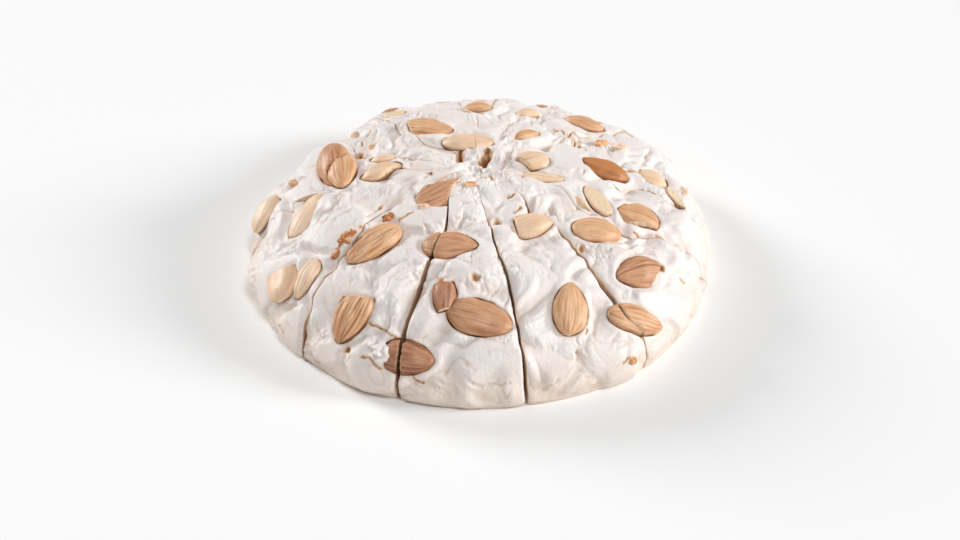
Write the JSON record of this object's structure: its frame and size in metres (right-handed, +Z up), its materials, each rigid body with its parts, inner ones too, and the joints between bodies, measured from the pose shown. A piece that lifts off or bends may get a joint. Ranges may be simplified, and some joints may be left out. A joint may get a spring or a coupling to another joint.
{
  "type": "round almond nougat cake, pre-cut into wedges",
  "caption": "Domed round cake of soft white nougat with whole roasted almonds, cut by a knife into wedges that stand together.",
  "frame": {"origin": "the middle of the cake's flat foot, on the surface that it stands on", "axes": "+Z up out of the top of the dome, -Y towards the wedge at the front, +X to its right"},
  "size_m": [0.204, 0.2043, 0.0508],
  "materials": {
    "nougat": "satin",
    "almond": "satin"
  },
  "bodies": {
    "root": {"wedge_01": "nougat", "wedge_02": "nougat", "wedge_03": "nougat", "wedge_04": "nougat", "wedge_05": "nougat", "wedge_06": "nougat", "wedge_07": "nougat", "wedge_08": "nougat", "wedge_09": "nougat", "wedge_10": "nougat", "wedge_11": "nougat", "wedge_12": "nougat", "almond_01": "almond", "almond_02": "almond", "almond_03": "almond", "almond_04": "almond", "almond_05": "almond", "almond_06": "almond", "almond_07": "almond", "almond_08": "almond", "almond_09": "almond", "almond_10": "almond", "almond_11": "almond", "almond_12": "almond", "almond_13": "almond", "almond_14": "almond", "almond_15": "almond", "almond_16": "almond", "almond_17": "almond", "almond_18": "almond", "almond_19": "almond", "almond_20": "almond", "almond_21": "almond", "almond_22": "almond", "almond_23": "almond", "almond_24": "almond", "almond_25": "almond", "almond_26": "almond", "almond_27": "almond", "almond_28": "almond", "almond_29": "almond", "almond_30": "almond", "almond_31": "almond", "almond_32": "almond", "almond_33": "almond", "almond_34": "almond", "almond_35": "almond", "almond_36": "almond", "almond_37": "almond", "almond_38": "almond", "almond_39": "almond", "almond_40": "almond", "almond_41": "almond", "almond_42": "almond", "almond_43": "almond", "almond_44": "almond", "almond_45": "almond"}
  },
  "joints": []
}
